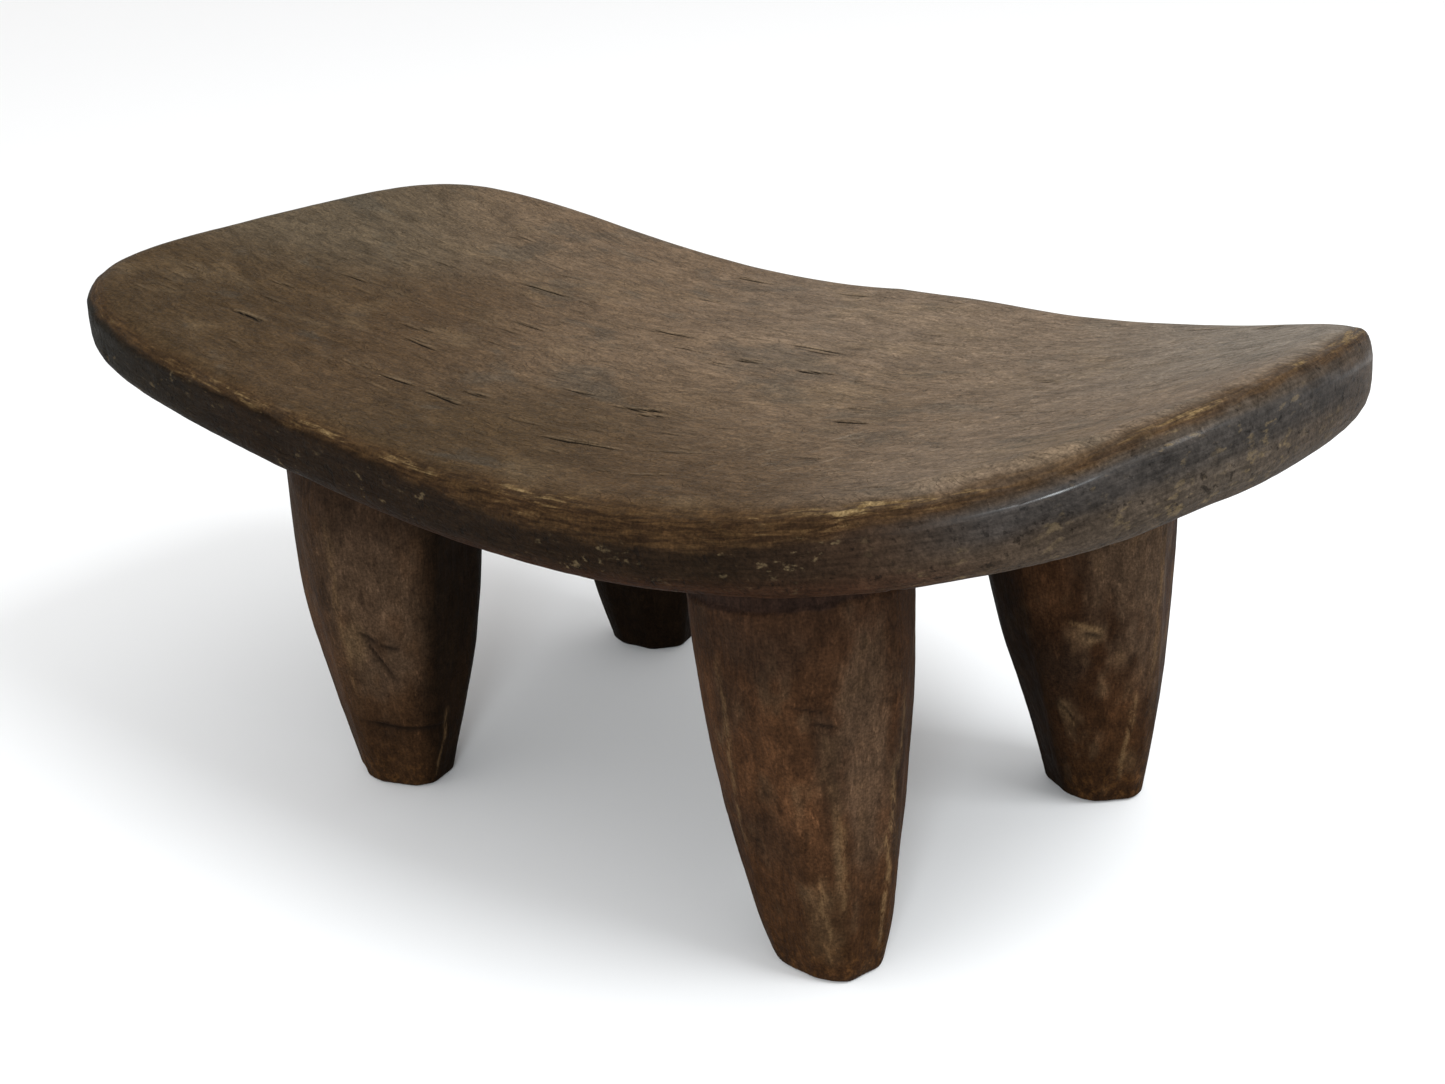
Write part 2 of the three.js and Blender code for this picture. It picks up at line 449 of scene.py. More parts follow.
def distance_to(points, border):
    tree = kdtree.KDTree(len(border))
    for i, point in enumerate(border):
        tree.insert((point[0], point[1], 0), i)
    tree.balance()
    return np.array([tree.find((x, y, 0))[2] for x, y in points])


def build_seat():
    plan, grid_angle = top_grid()
    index, loop = edge_loop()
    points = [np.column_stack([plan, seat_top(plan[:, 0], plan[:, 1])])]
    rim = [-distance_to(plan, plan[loop]) - roll_length(np.radians(seat_direction(*plan.T)))]
    faces = np.stack([index[:-1, :-1], index[1:, :-1], index[1:, 1:], index[:-1, 1:]], axis=-1)
    faces = faces.reshape(-1, 4).tolist()
    loop_angle = grid_angle.reshape(-1)[loop]
    angle = even_angles(RIM_POINTS)
    count = index.size
    ring = None
    for ring_points, distance in seat_rings(angle):
        new_ring = list(range(count, count + len(ring_points)))
        if ring is None:
            faces += zip_rings(*by_angle(loop, loop_angle), *by_angle(new_ring, angle))
        else:
            faces += strip(new_ring, ring)
        points.append(ring_points)
        rim.append(distance)
        ring = new_ring
        count += len(ring_points)
    for step in range(1, UNDERSIDE_RINGS):
        reach = 1 - step / UNDERSIDE_RINGS
        halve = step in HALVING_RINGS
        old_angle = angle
        if halve:
            angle = angle[::2]
        under = outline(angle, round_the_rim(angle, BOTTOM_ROLL)) * reach
        height = seat_top(under[:, 0], under[:, 1]) - seat_thickness(under[:, 0])
        new_ring = list(range(count, count + len(under)))
        if halve:
            joined = zip_rings(*by_angle(new_ring, angle), *by_angle(ring, old_angle))
            faces += [face[::-1] for face in joined]
        else:
            faces += strip(new_ring, ring)
        points.append(np.column_stack([under, height]))
        rim.append(np.full(len(under), BEYOND_RIM))
        ring = new_ring
        count += len(under)
    middle = MIDDLE_HEIGHT - MIDDLE_THICKNESS
    points.append(np.array([[0.0, 0.0, middle]]))
    rim.append(np.array([BEYOND_RIM]))
    faces += [(ring[(i + 1) % len(ring)], ring[i], count) for i in range(len(ring))]
    return make_object("carved_seat", np.concatenate(points), faces), np.concatenate(rim)


# Splits along the grain in the upper face: start x and y, end x and y, and how strong each is.
SPLITS = (
    (-158, -45, -149, -43, 0.5), (-150, -22, -137, -20, 0.6), (-143, -72, -128, -70, 1.0),
    (-142, 13, -131, 15, 0.5), (-106, 22, -83, 25, 0.8), (-93, -36, -85, -33, 0.5),
    (-88, -44, -71, -44, 0.7), (-76, -71, -69, -69, 0.4), (-75, -7, -62, -6, 0.6),
    (-65, -71, -51, -70, 0.9), (-62, 84, -45, 86, 0.8), (-51, 56, -42, 59, 0.5),
    (-45, -71, -26, -71, 0.9), (-38, 20, -19, 21, 0.7), (-34, -62, -25, -60, 0.8),
    (-19, 11, -9, 12, 0.4), (-15, -40, 0, -38, 0.6), (-14, 87, -1, 88, 0.6),
    (4, 4, 10, 7, 0.6), (8, 11, 18, 13, 0.9), (10, -42, 28, -37, 0.9),
    (13, 33, 34, 34, 0.8), (14, -74, 44, -70, 1.0), (20, 31, 33, 32, 0.6),
    (22, -43, 31, -40, 0.7), (33, 13, 46, 17, 0.9), (49, -88, 56, -85, 0.4),
    (50, -67, 70, -60, 0.5), (62, -85, 76, -79, 0.4), (74, -10, 83, -6, 0.5),
    (81, -22, 94, -20, 0.8), (95, -54, 107, -54, 0.4), (113, 31, 124, 27, 0.5),
    (128, 85, 141, 84, 0.6), (155, 78, 168, 76, 0.6),
)
SMALL_SPLITS = 110
SPLIT_WIDTH = 0.34
LIP_OFFSET, LIP_WIDTH = 1.0, 0.7


def split_strands():
    """Every split as thin strands: (start, end, strength). A long one has a weaker one beside it."""
    rng = np.random.default_rng(5)
    strands = []
    for start_x, start_y, end_x, end_y, strength in SPLITS:
        start, end = np.array([start_x, start_y]), np.array([end_x, end_y])
        strands.append((start, end, strength))
        beside = np.array([0.0, rng.choice([-1, 1]) * rng.uniform(1.0, 1.6)])
        low, high = sorted(rng.uniform(0, 1, 2))
        strands.append((start + (end - start) * low + beside, start + (end - start) * high + beside,
                        0.6 * strength))
    for _ in range(SMALL_SPLITS):
        start = np.array([rng.uniform(-195, 170), rng.uniform(-98, 98)])
        end = start + (rng.uniform(4, 12), rng.uniform(-0.4, 1.2))
        strands.append((start, end, rng.uniform(0.12, 0.4)))
    return strands


def splits(x, y):
    """How deep in a split each point lies, from 0 to 1, and how high on a split's torn lip."""
    depth, lip = np.zeros(len(x)), np.zeros(len(x))
    bent = y + 0.4 * noise(np.column_stack([x, y, 0 * x]), (6, 4, 4), 3)
    for start, end, strength in split_strands():
        near = (x > start[0]) & (x < end[0]) & (np.abs(y - start[1]) < 4 + abs(end[1] - start[1]))
        if near.any():
            cut = strength * groove(x[near], bent[near], start, end, SPLIT_WIDTH)
            raised = strength * groove(x[near], bent[near] - LIP_OFFSET, start, end, LIP_WIDTH)
            depth[near] = np.maximum(depth[near], cut)
            lip[near] = np.maximum(lip[near], raised)
    return depth, lip


# The seat's paints: first those of the upper face, then those of the band round the rim.
SEAT_PAINTS = {
    "umber": (66, 51, 33), "dark": (72, 55, 37), "olive": (84, 72, 56),
    "brown": (102, 84, 66), "light": (108, 92, 76), "grey": (116, 107, 96),
    "dull": (34, 30, 24), "shadow": (27, 25, 20), "front": (29, 20, 12), "corner": (44, 32, 23),
    "bevel": (56, 46, 37), "ash": (67, 59, 51), "end": (60, 50, 41),
}

# The upper face's paint at a few places: x, y and paint. Besides the wood's own tone it carries painted
# light: darker along the front, lighter towards the back and greyer at the far right, where it is a
# painted sheen.
TOP_TONES = (
    (-150, -75, "umber"), (-190, 30, "olive"), (-150, 85, "brown"), (-85, -40, "dark"),
    (-30, 0, "brown"), (0, -75, "umber"), (70, -85, "dark"), (30, 60, "light"),
    (75, -15, "brown"), (120, 30, "light"), (170, 60, "grey"), (170, -30, "light"),
)
TONE_REACH = 45.0

# The band's paint by direction, from just under the worn edge. Besides the wood's own tone it carries
# painted light: painted shade darkens it along the front and at the left end, and it is lighter round the
# right end and along the back.
BAND_TONES = (
    (-180, "dull"), (-135, "shadow"), (-110, "front"), (-60, "front"), (-50, "corner"),
    (-40, "bevel"), (-15, "ash"), (20, "end"), (45, "ash"), (90, "end"), (180, "dull"),
)

# By direction: how wide the brown worn zone under the edge is, how strong and how broad its pale
# line is, how crisply the edge is undercut, and how polished the foot of the bevel is.
WEAR_DIRECTIONS = (
    -180, -140, -125, -108, -97, -88, -75, -62, -54, -48, -43, -37, -28, -18, -5, 5, 20, 45, 90, 180
)
BROWN_WIDTH = (1, 1, 0.5, 0.5, 1, 4, 8, 8, 7, 4, 3, 2, 2, 2, 2, 2, 2, 2, 3, 1)
WEAR_STRENGTH = (
    0.2, 0.4, 0.5, 0.9, 0.7, 0.6, 0.75, 0.45, 0.6, 1.2, 1.0, 0.4, 0.7, 1.0, 0.4, 1.1, 1.1, 0.5, 0.2, 0.2
)
WEAR_BREADTH = (2, 2, 1.8, 2.2, 2.2, 3, 3, 2.5, 2.5, 3.2, 2.6, 1.2, 1.4, 2, 1.2, 2.8, 3.2, 2.4, 2, 2)
UNDERCUT = (0, 0.3, 0.8, 1, 0.8, 0.3, 0, 0, 0, 0.2, 0.3, 0.3, 0.2, 0.2, 0.2, 0.2, 0, 0, 0, 0)
POLISH = (0, 0, 0, 0, 0, 0, 0, 0, 0, 0.1, 0.5, 1, 0.9, 0.5, 0.5, 0.4, 0.25, 0, 0, 0)


def by_direction(direction, values):
    return np.interp(direction, WEAR_DIRECTIONS, values)


def top_tone(x, y):
    total, weights = np.zeros((len(x), 3)), np.zeros(len(x))
    for place_x, place_y, tone in TOP_TONES:
        weight = 1e-6 + np.exp(-((x - place_x) ** 2 + (y - place_y) ** 2) / TONE_REACH**2)
        total += weight[:, None] * paint(*SEAT_PAINTS[tone])[:3]
        weights += weight
    return total / weights[:, None]


def band_tone(direction):
    known = [tone[0] for tone in BAND_TONES]
    colours = np.array([paint(*SEAT_PAINTS[tone[1]])[:3] for tone in BAND_TONES])
    return np.column_stack([np.interp(direction, known, colours[:, i]) for i in range(3)])


def colour_seat(seat, place, rim):
    """Colours and wear of the seat's skin, as attributes that its material reads."""
    x, y, _ = place.T
    direction = seat_direction(x, y)
    below_foot = rim - bevel_length(np.radians(direction)) + 0.8 * rough(place, (12, 12, 5), 63)
    ragged = rim + 1.2 * rough(place, (12, 5, 5), 61)
    brown_width = by_direction(direction, BROWN_WIDTH)
    brown = smooth_step(-6, -1, ragged) * (1 - smooth_step(brown_width - 0.5, brown_width + 2.5, ragged))
    wear = by_direction(direction, WEAR_STRENGTH)
    line = np.exp(-(((ragged + 0.6) / by_direction(direction, WEAR_BREADTH)) ** 2))
    spread = 0.45 * brown * smooth_step(3, 7, brown_width)
    patchy = smooth_step(-0.6, 0.4, rough(place, (24, 24, 24), 67))
    polish = by_direction(direction, POLISH)
    sharp = np.exp(-((below_foot + 0.5) ** 2))
    soft = smooth_step(-4, 0, below_foot) * smooth_step(8, 2, below_foot)
    band = band_tone(direction)
    cool = smooth_step(-48, -38, direction) * smooth_step(30, 5, direction)
    cool = cool * smooth_step(-3, 0, below_foot) * smooth_step(11, 5, below_foot)
    band = paint_over(band, 0.75 * cool, paint(42, 40, 39))
    low_edge = smooth_step(16, 22, rim) * (1 - smooth_step(29, 35, rim))
    reddened = smooth_step(-120, -80, direction) * smooth_step(-35, -50, direction)
    band = paint_over(band, 0.5 * low_edge * reddened, paint(54, 31, 18))
    band = paint_over(band, smooth_step(29, 38, rim), paint(38, 27, 19))
    add_colours(seat, "top_tone", top_tone(x, y))
    add_colours(seat, "band_tone", band)
    wear = wear * np.maximum(line, spread) * (0.4 + 0.6 * patchy)
    add_attributes(seat, brown=brown, wear=wear, polish=polish * (sharp + 0.10 * soft), rim=rim)
    add_places(seat, "unrolled", unrolled(direction, rim))


def carve_seat(seat, rim):
    """Tool marks, splits and worn edges, as real relief."""
    place = vertex_array(seat.data, "vertices") / MM
    x, y, _ = place.T
    on_top = 1 - smooth_step(-3, 1, rim)
    on_band = smooth_step(0, 5, rim) * (1 - smooth_step(29, 40, rim))
    below = smooth_step(29, 48, rim)
    split, lip = splits(x, y)
    split, lip = split * (rim < -3), lip * (rim < -3)
    inner = 1 - 0.85 * np.exp(-((rim / 24) ** 2))
    relief = WAVE_DEPTH * rough(place, (60, 34, 60), 21, 2) * (on_top * inner + on_band)
    relief += RIPPLE_DEPTH * rough(place, (24, 8, 8), 25, 2) * on_top * inner
    for swell_x, swell_y, swell_reach, amount in SEAT_SWELLS:
        relief += amount * np.exp(-((x - swell_x) ** 2 + (y - swell_y) ** 2) / swell_reach**2) * on_top
    relief += WRINKLE_DEPTH * rough(place, (12, 3, 3), 27, 2) * on_top * inner
    relief += LIP_HEIGHT * lip - SPLIT_DEPTH * split
    undercut = by_direction(seat_direction(x, y), UNDERCUT)
    under_edge = np.exp(-(((rim - 1.8 + 0.6 * rough(place, 8, 71)) / 1.1) ** 2))
    relief -= UNDERCUT_DEPTH * undercut * under_edge
    relief += BAND_DEPTH * rough(place, (14, 14, 8), 31, 3) * on_band
    scooped = scoops(x + 6 * noise(place, 30, 41), y, SCOOP_LENGTH, SCOOP_WIDTH, 43)
    relief += below * SCOOP_DEPTH * (scooped - SCOOP_LEVEL)
    relief += below * UNDERSIDE_GRAIN_DEPTH * rough(place, (12, 3, 3), 47)
    edge = np.exp(-((rim / 3.0) ** 2))
    in_front = smooth_step(30, -30, y)
    relief += edge * in_front * EDGE_DEPTH * rough(place, 9, 51)
    nicks = np.maximum(rough(place, 5, 57, 2) - 0.75, 0)
    relief -= NICK_DEPTH * nicks * in_front * (edge + 0.7 * on_band)
    push_out(seat, relief)
    colour_seat(seat, place, rim)
    add_attributes(seat, split=split, lip=lip)


# ---- Legs -----------------------------------------------------------------------------------

# For each leg, with directions in degrees from +X and heights in millimetres:
# foot_shift: how far its foot stands from under its root
# flats: each one's direction, and how deep it cuts as a fraction of the leg's radius
# cuts: each one's two ends as (direction, height), its width and its depth
# swells: direction, height, half width in degrees, half height, and how far it stands out
# patches: kind of paint, direction, height, half width in degrees, half height
# paint: the wood's own colour
# worn_lines: pale lines as two ends, width and strength
# shade_from, shade: how squarely a side must face the seat's middle to get painted shade, and how dark
# that painted shade is
LEGS = {
    "leg_front_left": {
        "foot_shift": (-1.3, -5.5),
        "flats": ((-118, 0.06), (-60, 0.08), (10, 0.08), (58, 0.05), (108, 0.06), (165, 0.05)),
        "cuts": (
            ((-68, 61), (-40, 41), 0.7, 1.0), ((-68, 61), (-54, 57), 1.3, 0.8),
            ((-54, 57), (-36, 55), 0.9, 0.5), ((-85, 26), (5, 23), 0.9, 0.8),
        ),
        "swells": ((-134, 62, 40, 34, 1.3), (46, 52, 40, 30, 0.7)),
        "patches": (
            ("cool", -60, 80, 34, 34), ("dark", -50, 108, 70, 16), ("cool", -52, 46, 24, 10),
            ("dark", -95, 70, 12, 20), ("dark", -24, 30, 16, 14), ("pale", -72, 58, 8, 10),
            ("dark", -40, 22, 40, 5), ("warm", -110, 40, 14, 30),
        ),
        "paint": (53, 37, 24),
        "worn_lines": (((-78, 104), (-80, 30), 0.8, 0.4), ((4, 30), (-8, 3), 0.8, 0.7)),
        "shade_from": 0.2, "shade": 0.86,
        "seed": 100,
    },
    "leg_front_right": {
        "foot_shift": (3.3, -0.2),
        "flats": ((-86, 0.08), (-12, 0.07), (32, 0.04), (76, 0.05), (120, 0.06), (-170, 0.05)),
        "cuts": (((-48, 88), (-33, 86), 0.5, 0.5), ((-60, 93), (-40, 91), 0.4, 0.3)),
        "swells": ((-134, 12, 40, 12, 0.6), (30, 12, 40, 26, 1.0), (-30, 4, 26, 14, 1.6)),
        "patches": (
            ("warm", -80, 72, 20, 20), ("warm", -92, 24, 26, 20), ("cool", -17, 74, 17, 36),
            ("dark", 10, 62, 7, 30), ("dark", -98, 92, 14, 12), ("dark", -84, 48, 22, 9),
            ("dark", -42, 70, 6, 22), ("pale", -38, 44, 3, 14), ("warm", -60, 56, 16, 12),
            ("pale", -52, 22, 14, 12), ("dark", -80, 108, 30, 8),
        ),
        "paint": (50, 32, 19),
        "worn_lines": (
            ((4, 74), (2, 6), 0.8, 1.0), ((-37, 62), (-34, 22), 1.0, 0.55),
            ((-50, 40), (-48, 6), 0.8, 0.5), ((14, 92), (8, 66), 0.7, 0.5),
            ((-98, 104), (-104, 40), 0.7, 0.6),
        ),
        "shade_from": 0.3, "shade": 0.9,
        "seed": 200,
    },
    "leg_rear_right": {
        "foot_shift": (3.5, 6.2),
        "flats": ((-112, 0.07), (-40, 0.08), (24, 0.06), (66, 0.05), (112, 0.06), (170, 0.05)),
        "cuts": (((-56, 66), (-44, 64), 0.8, 0.5), ((-82, 40), (-68, 32), 0.6, 0.5)),
        "swells": ((-134, 104, 40, 22, 1.5), (-134, 24, 40, 24, -1.6), (-46, 4, 30, 14, 1.4)),
        "patches": (
            ("cool", -20, 90, 28, 24), ("cool", -8, 84, 20, 44), ("warm", -28, 26, 18, 18),
            ("dark", -78, 48, 18, 14),
            ("pale", -52, 65, 7, 3), ("pale", -76, 36, 5, 4), ("dark", -62, 56, 8, 6),
            ("warm", -86, 84, 20, 16), ("pale", -22, 16, 10, 6),
        ),
        "paint": (38, 23, 12),
        "worn_lines": (
            ((-64, 70), (-42, 66), 0.9, 0.7), ((-20, 44), (-30, 8), 0.8, 0.8),
            ((-82, 38), (-68, 30), 0.6, 0.7), ((2, 96), (-4, 40), 0.8, 0.5),
        ),
        "shade_from": 0.45, "shade": 0.8,
        "seed": 300,
    },
    "leg_rear_left": {
        "foot_shift": (-0.4, 1.1),
        "flats": (
            (-130, 0.06), (-76, 0.06), (-30, 0.06), (18, 0.05), (70, 0.06), (116, 0.05), (165, 0.06),
        ),
        "cuts": (((120, 60), (150, 50), 1.0, 0.8),),
        "swells": ((120, 60, 40, 20, 0.5),),
        "patches": (("cool", 130, 70, 30, 34), ("warm", 170, 40, 24, 24), ("dark", 100, 60, 14, 26)),
        "paint": (50, 35, 23),
        "worn_lines": (((150, 70), (148, 10), 0.8, 0.7),),
        "shade_from": 0.1, "shade": 1.0,
        "seed": 400,
    },
}
PATCH_PAINTS = {
    "warm": paint(66, 43, 26), "cool": paint(69, 54, 41), "dark": paint(37, 26, 18),
    "pale": paint(86, 68, 48),
}


def leg_stations():
    """Rings from the middle of the foot to the middle of the root: (reach, inset, lift, climb)."""
    rings = [(step / CAP_RINGS, FOOT_ROUNDING, 0, 0) for step in range(1, CAP_RINGS)]
    for step in range(ROUNDING_RINGS + 1):
        turn = step / ROUNDING_RINGS * math.pi / 2
        rings.append((1, FOOT_ROUNDING * (1 - math.sin(turn)), FOOT_ROUNDING * (1 - math.cos(turn)), 0))
    rings += [(1, 0, FOOT_ROUNDING, step / LEG_RINGS) for step in range(1, LEG_RINGS + 1)]
    rings += [(1 - step / (CAP_RINGS + 1), 0, FOOT_ROUNDING, 1) for step in range(1, CAP_RINGS + 1)]
    return rings


def leg_surface(leg, root, radii):
    """Points of the leg's rings before its tool marks, and each point's direction and height."""
    angle = np.linspace(-math.pi, math.pi, LEG_SIDES, endpoint=False)
    stations = np.array(leg_stations())
    reach, inset, lift, climb = (stations[:, i, None] for i in range(4))
    x = root[0] + reach * radii[0] * np.cos(angle)
    y = root[1] + reach * radii[1] * np.sin(angle)
    top = seat_top(x, y) - seat_thickness(x) + ROOT_OVERLAP
    climb = np.clip(climb + lift * (1 - climb) / top, 0, 1)
    girth = radii[0] / ROOT_RADIUS_X
    swell = 1 - (1 - climb) ** 2
    wobble = 5 * np.sin(climb * 5 + leg["seed"])
    unit_x, unit_y = np.cos(angle) + 0 * climb, np.sin(angle) + 0 * climb
    for i, (direction, depth) in enumerate(leg["flats"]):
        turn = np.radians(direction + wobble * math.cos(i * 2.1))
        flat_x, flat_y = np.cos(turn), np.sin(turn)
        uneven = 1 + 0.25 * np.sin(climb * 7 + 1.7 * i)
        strength = 0.8 * depth * uneven * (0.35 + 0.65 * (1 - climb**3))
        over = unit_x * flat_x + unit_y * flat_y - (1 - strength)
        cut = FLAT_SOFTNESS * np.logaddexp(0, over / FLAT_SOFTNESS)
        unit_x, unit_y = unit_x - flat_x * cut, unit_y - flat_y * cut
    plan = []
    for i, unit in enumerate((unit_x, unit_y)):
        foot = FOOT_RADIUS[i] * girth
        radius = (foot + (radii[i] - foot) * swell) * SKIN_ALLOWANCE - inset
        plan.append(root[i] + leg["foot_shift"][i] * (1 - climb) + reach * radius * unit)
    points = np.stack([*plan, climb * top], axis=-1)
    return points, np.degrees(angle) + 0 * climb, reach + 0 * angle, top - climb * top


def turn_between(direction, other):
    return (direction - other + 180) % 360 - 180


def patch_distance(direction, z, middle, height, half_width, half_height):
    """How far points lie from the middle of a patch or swell, squared, in its half sizes."""
    return (turn_between(direction, middle) / half_width) ** 2 + ((z - height) / half_height) ** 2


def ridge_lines(direction, z, leg):
    """1 along the ridges between neighbouring flats, where wear shows the pale wood."""
    middles = sorted(flat[0] for flat in leg["flats"])
    ridges = [(a + b) / 2 for a, b in zip(middles, middles[1:])]
    nearest = np.min([np.abs(turn_between(direction, ridge)) for ridge in ridges], axis=0)
    return np.exp(-((nearest / 5) ** 2)) * smooth_step(95, 60, z)


def leg_tone(leg, root, direction, place, below_seat):
    """The wood's colour all over a leg, with painted shade on its inner side, under the seat and in the
    collar, and how much of the inner side's painted shade each point gets.
    """
    seed, z = leg["seed"], place[:, 2]
    ragged = rough(place, (5, 5, 11), seed + 40, 4)
    lighter = smooth_step(-0.1, 0.7, rough(place, (18, 18, 30), seed + 50))
    colours = np.tile(np.array(paint(*leg["paint"])[:3]), (len(place), 1))
    colours = paint_over(colours, lighter, 1.4 * np.array(paint(*leg["paint"])))
    for kind, *patch in leg["patches"]:
        spread = patch_distance(direction, z, *patch)
        amount = smooth_step(0.1, 0.9, np.exp(-0.7 * spread) + 0.34 * ragged)
        colours = paint_over(colours, 0.65 * amount, PATCH_PAINTS[kind])
    turn = np.radians(direction)
    inward = -(np.cos(turn) * np.sign(root[0]) + np.sin(turn) * np.sign(root[1])) / math.sqrt(2)
    painted_shade = smooth_step(leg["shade_from"], leg["shade_from"] + 0.4, inward + 0.06 * ragged)
    colours = paint_over(colours, 0.65 * smooth_step(65, 5, z + 5 * ragged), paint(41, 25, 11))
    # Painted shade: the side facing the seat's middle is painted nearly black, a little less low down.
    darkness = leg["shade"] * (0.86 + 0.14 * smooth_step(20, 80, z))
    colours = paint_over(colours, painted_shade * darkness, paint(10, 6, 3))
    # Painted shade under the seat, strongest at the top of the leg.
    colours = paint_over(colours, 0.45 * smooth_step(34, 8, below_seat + 3 * ragged), paint(30, 20, 14))
    # Painted shade in the recessed collar just under the seat.
    collar_shade = smooth_step(LEDGE_DROP + 0.6, LEDGE_DROP - 0.6, below_seat + 0.8 * ragged)
    return paint_over(colours, 0.65 * collar_shade, paint(28, 20, 18)), painted_shade


def leg_groove(around, z, start, end, width):
    """A groove on a leg's side, with its ends given as (direction, height). Places around the leg
    are in millimetres on a round leg of MARK_RADIUS."""
    start, end = (start[0] * MM_PER_DEGREE, start[1]), (end[0] * MM_PER_DEGREE, end[1])
    return groove(around, z, start, end, width)


def leg_faces(rings, sides):
    faces = []
    for i in range(rings - 1):
        faces += strip(range(i * sides, (i + 1) * sides), range((i + 1) * sides, (i + 2) * sides))
    foot_index, root_index = rings * sides, rings * sides + 1
    last = (rings - 1) * sides
    for i in range(sides):
        follower = (i + 1) % sides
        faces.append((follower, i, foot_index))
        faces.append((last + i, last + follower, root_index))
    return faces


def leg_relief(leg, place, direction, around, below_seat):
    """How far a leg's tool marks, ledge and swells move its skin."""
    seed, z = leg["seed"], place[:, 2]
    scooped = scoops(
        around + 3 * noise(place, 20, seed + 5), z, LEG_SCOOP_WIDTH, LEG_SCOOP_HEIGHT, seed + 6
    )
    relief = LEG_WAVE_DEPTH * rough(place, (16, 16, 34), seed, 2)
    relief += LEG_SCOOP_DEPTH * (scooped - SCOOP_LEVEL)
    relief += LEG_GRAIN_DEPTH * rough(place, (2.5, 2.5, 14), seed + 9)
    edge_wave = 1.6 * noise(place, (12, 12, 40), seed + 13)
    relief -= LEDGE_DEPTH * (1 - smooth_step(LEDGE_DROP - 0.7, LEDGE_DROP + 0.7, below_seat + edge_wave))
    relief += ROOT_FLARE * np.exp(-below_seat / ROOT_FLARE_HEIGHT)
    for *swell, amount in leg["swells"]:
        relief += amount * np.exp(-patch_distance(direction, z, *swell))
    return relief


def build_leg(name, leg):
    low, high = box_mm(name)
    root, radii = (low + high)[:2] / 2, (high - low)[:2] / 2
    surface, direction, reach, below_seat = leg_surface(leg, root, radii)
    foot_middle = [root[0] + leg["foot_shift"][0], root[1] + leg["foot_shift"][1], 0]
    root_middle = [root[0], root[1], seat_top(*root) - seat_thickness(root[0]) + ROOT_OVERLAP]
    points = np.vstack([surface.reshape(-1, 3), foot_middle, root_middle])
    made = make_object("carved_" + name, points, leg_faces(*surface.shape[:2]))
    direction = np.append(direction.ravel(), [0, 0])
    on_side = np.append((reach == 1).ravel(), [False, False])
    below_seat = np.append(below_seat.ravel(), [root_middle[2], 0.0])
    place = vertex_array(made.data, "vertices") / MM
    z = place[:, 2]
    side = on_side * smooth_step(-4, 5, z)
    relief = leg_relief(leg, place, direction, np.radians(direction) * radii.mean(), below_seat)
    marks, worn = np.zeros(len(place)), np.zeros(len(place))
    for start, end, width, depth in leg["cuts"]:
        cut = leg_groove(MM_PER_DEGREE * direction, z, start, end, width)
        relief -= depth * cut
        marks = np.maximum(marks, cut)
    wander = 1.2 * rough(place, (7, 7, 9), leg["seed"] + 60)
    for start, end, width, strength in leg["worn_lines"]:
        line = leg_groove(MM_PER_DEGREE * direction + wander, z, start, end, width)
        worn = np.maximum(worn, strength * line)
    push_out(made, relief * side)
    stand_on_floor(made)
    tone, painted_shade = leg_tone(leg, root, direction, place, below_seat)
    ridge = ridge_lines(direction, z, leg) * on_side
    add_attributes(made, mark=marks * on_side, worn_line=worn * on_side, ridge=ridge)
    # 1 outside the inner side's painted shade, so that the material shows wear only there.
    add_attributes(made, open=1 - painted_shade)
    add_colours(made, "tone", tone)
    return made


# ---- Materials ------------------------------------------------------------------------------


